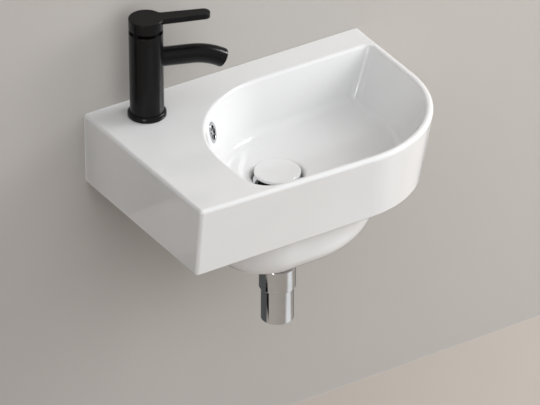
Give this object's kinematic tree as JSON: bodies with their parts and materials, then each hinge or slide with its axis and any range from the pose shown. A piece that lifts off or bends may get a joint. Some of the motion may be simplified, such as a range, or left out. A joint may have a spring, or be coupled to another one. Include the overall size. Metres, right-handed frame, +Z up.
{
  "type": "wall-hung basin with tap and waste",
  "caption": "Wall-hung ceramic cloakroom basin with a rounded bowl beside a flat tap ledge, a single-lever mixer tap, a ringed overflow and a click waste with its tailpiece.",
  "frame": {"origin": "midway between the two wall-fixing holes, on the face that meets the wall", "axes": "+X to the right seen from the front, +Y into the wall, +Z up"},
  "size_m": [0.4194, 0.2915, 0.4325],
  "materials": {
    "white_glaze": "glossy white glaze",
    "black_coat": "satin black coat",
    "bright_chrome": "bright chrome plate",
    "black_rubber": "moulded",
    "white_plastic": "moulded",
    "grey_plastic": "moulded",
    "black_plastic": "moulded",
    "turned_brass": "as turned",
    "plain_steel": "plain",
    "fired_ceramic": "lapped flat"
  },
  "bodies": {
    "basin_set": {"basin": "white_glaze", "tap_body": "black_coat", "spout": "black_coat", "base_ring": "black_coat", "aerator_housing": "black_coat", "cartridge_nut": "black_coat", "waste_body": "bright_chrome", "coupling_collar": "bright_chrome", "tailpiece": "bright_chrome", "overflow_ring": "bright_chrome", "flange_seal": "black_rubber", "lower_seal": "black_rubber", "tail_seal": "black_rubber", "base_gasket": "black_rubber", "horseshoe_gasket": "black_rubber", "cartridge_seals": "black_rubber", "aerator_washer": "black_rubber", "wall_bushes": "white_plastic", "friction_washer": "white_plastic", "cartridge_housing": "white_plastic", "click_housing": "white_plastic", "aerator_insert": "grey_plastic", "backnut": "turned_brass", "mounting_stud": "plain_steel", "horseshoe_plate": "plain_steel", "stud_nut": "plain_steel", "click_spring": "plain_steel", "fixed_disc": "fired_ceramic"},
    "turret": {"cartridge_turret": "black_plastic", "pivot_pin": "plain_steel"},
    "lever": {"cartridge_stem": "plain_steel", "lever_handle": "black_coat", "handle_screw": "plain_steel", "screw_plug": "black_coat"},
    "disc": {"moving_disc": "fired_ceramic", "disc_carrier": "white_plastic"},
    "plug": {"plug_cap": "white_glaze", "plug_seal": "black_rubber", "cap_holder": "turned_brass", "click_plunger": "plain_steel"}
  },
  "joints": [
    {"name": "lever_turn", "type": "hinge", "parent": "basin_set", "child": "turret", "pos_m": [-0.142, -0.0434, 0.18], "axis": [0, 0, 1], "range_deg": [-45, 45]},
    {"name": "lever_lift", "type": "hinge", "parent": "turret", "child": "lever", "pos_m": [-0.142, -0.0434, 0.1884], "axis": [-0.342, -0.9397, 0], "range_deg": [0, 20]},
    {"name": "disc_slide", "type": "slide", "parent": "turret", "child": "disc", "axis": [0.9397, -0.342, 0], "range_m": [0, 0.0088]},
    {"name": "plug_push", "type": "slide", "parent": "basin_set", "child": "plug", "axis": [0, 0, 1], "range_m": [-0.007, 0], "stiffness_N_per_m": 400, "springref_m": 0.006, "deforming": ["click_spring"]}
  ],
  "couplings": [
    {"joint": "disc_slide", "follows": "lever_lift", "m_per_rad": 0.025}
  ]
}
